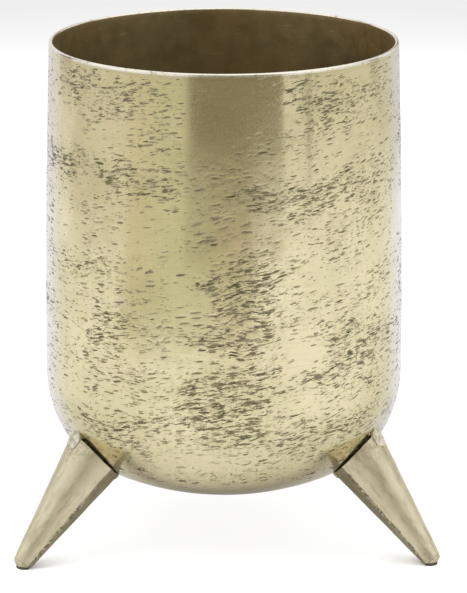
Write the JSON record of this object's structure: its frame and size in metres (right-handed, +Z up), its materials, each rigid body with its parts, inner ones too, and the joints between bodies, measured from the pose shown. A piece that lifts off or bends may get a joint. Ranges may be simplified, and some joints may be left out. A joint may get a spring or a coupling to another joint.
{
  "type": "tripod planter pot",
  "caption": "Tall round brass planter pot with a rounded bottom, chiselled oxidised surface, on splayed tapered legs brazed under the bowl.",
  "frame": {"origin": "floor level under the foot pads, at the middle of the object's footprint", "axes": "+Z up, longest extent, parallel to the pot's axis; front of the pot is -Y, one leg points straight back along +Y; the pot's axis is at x = 0, y = -17.95 mm"},
  "size_m": [0.2372, 0.236, 0.2847],
  "materials": {
    "pot_brass": "satin pale brass with dark oxidised chisel strokes",
    "leg_brass": "satin, hand-worked",
    "leg_back_brass": "dull, oxidised",
    "weld_brass": "rough as welded",
    "braze_brass": "rough filler metal",
    "plug_brass": "satin",
    "pad_rubber": "dark grey, matt"
  },
  "bodies": {
    "root": {"pot_body": "pot_brass", "leg_fl_front_shell": "leg_brass", "leg_fl_back_shell": "leg_back_brass", "leg_fl_top_plate": "leg_brass", "leg_fl_seam_welds": "weld_brass", "leg_fl_upper_braze": "braze_brass", "leg_fl_lower_braze": "braze_brass", "leg_fl_tip_plug": "plug_brass", "leg_fl_foot_pad": "pad_rubber", "leg_fr_front_shell": "leg_brass", "leg_fr_back_shell": "leg_back_brass", "leg_fr_top_plate": "leg_brass", "leg_fr_seam_welds": "weld_brass", "leg_fr_upper_braze": "braze_brass", "leg_fr_lower_braze": "braze_brass", "leg_fr_tip_plug": "plug_brass", "leg_fr_foot_pad": "pad_rubber", "leg_rear_front_shell": "leg_brass", "leg_rear_back_shell": "leg_back_brass", "leg_rear_top_plate": "leg_brass", "leg_rear_seam_welds": "weld_brass", "leg_rear_upper_braze": "braze_brass", "leg_rear_lower_braze": "braze_brass", "leg_rear_tip_plug": "plug_brass", "leg_rear_foot_pad": "pad_rubber"}
  },
  "joints": []
}
